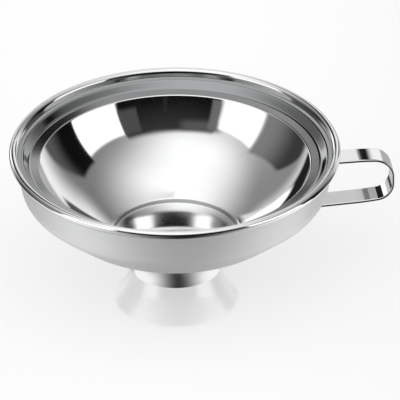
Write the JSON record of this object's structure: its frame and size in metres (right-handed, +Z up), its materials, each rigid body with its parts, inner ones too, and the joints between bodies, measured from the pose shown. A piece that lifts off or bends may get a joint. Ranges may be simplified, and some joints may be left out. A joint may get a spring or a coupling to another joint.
{
  "type": "canning funnel",
  "caption": "Wide stainless steel canning funnel with a rolled, stepped rim, a short flared neck and a bent strap handle; fills containers without spills.",
  "frame": {"origin": "on the surface the funnel stands on, under the middle of its bounding box in X and Y; the funnel's own axis is the vertical line at x = -11.5 mm, y = 0", "axes": "+Z up along the funnel's axis towards its mouth, +X towards the handle, +Y completing a right-handed set"},
  "size_m": [0.163, 0.14, 0.0568],
  "materials": {
    "mirror_steel": "mirror polished stainless steel",
    "satin_steel": "fine satin stainless steel",
    "weld_steel": "dressed weld, dull"
  },
  "bodies": {
    "root": {"inner_bowl": "mirror_steel", "outer_shell": "satin_steel", "neck": "mirror_steel", "throat_weld": "mirror_steel", "neck_weld": "weld_steel", "handle": "mirror_steel", "upper_spot_weld_front": "weld_steel", "upper_spot_weld_back": "weld_steel", "lower_spot_weld_front": "weld_steel", "lower_spot_weld_back": "weld_steel"}
  },
  "joints": []
}
